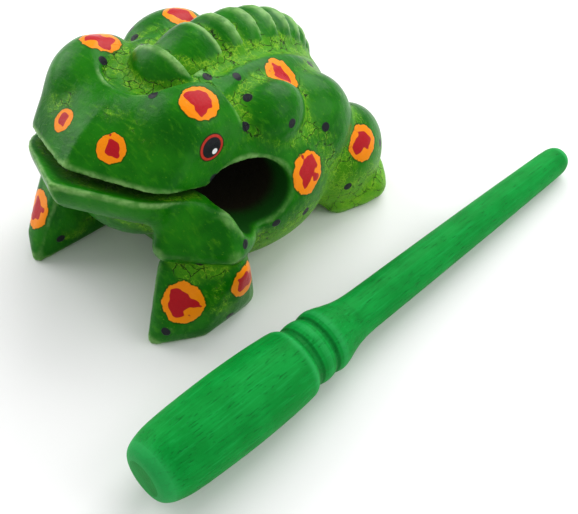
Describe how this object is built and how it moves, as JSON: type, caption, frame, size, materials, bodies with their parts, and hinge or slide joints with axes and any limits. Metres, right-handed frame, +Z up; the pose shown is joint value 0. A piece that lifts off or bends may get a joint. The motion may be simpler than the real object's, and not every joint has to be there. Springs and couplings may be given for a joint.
{
  "type": "frog guiro with stick",
  "caption": "Small wooden scraper instrument carved as a sitting frog with a toothed back, a cheek-to-cheek bore and a mouth slit, with its turned stick lying beside it.",
  "frame": {"origin": "on the floor, under the middle of the box round frog and stick together", "axes": "+Z up, +Y from the frog's nose toward its rump (the nose points to -Y), +X toward the frog's left side, where the stick lies"},
  "size_m": [0.1292, 0.1826, 0.0696],
  "materials": {
    "painted_carved_wood": "hand-painted green with yellow-green recesses and orange and red spots, glossy lacquer",
    "stained_turned_wood": "plain green paint over turned grain, satin"
  },
  "bodies": {
    "frog": {"frog_body": "painted_carved_wood"},
    "stick": {"scraper_stick": "stained_turned_wood"}
  },
  "joints": [
    {"name": "stick_lift", "type": "slide", "parent": "frog", "child": "stick", "axis": [0, 0, 1], "range_m": [0, 0.08]}
  ]
}
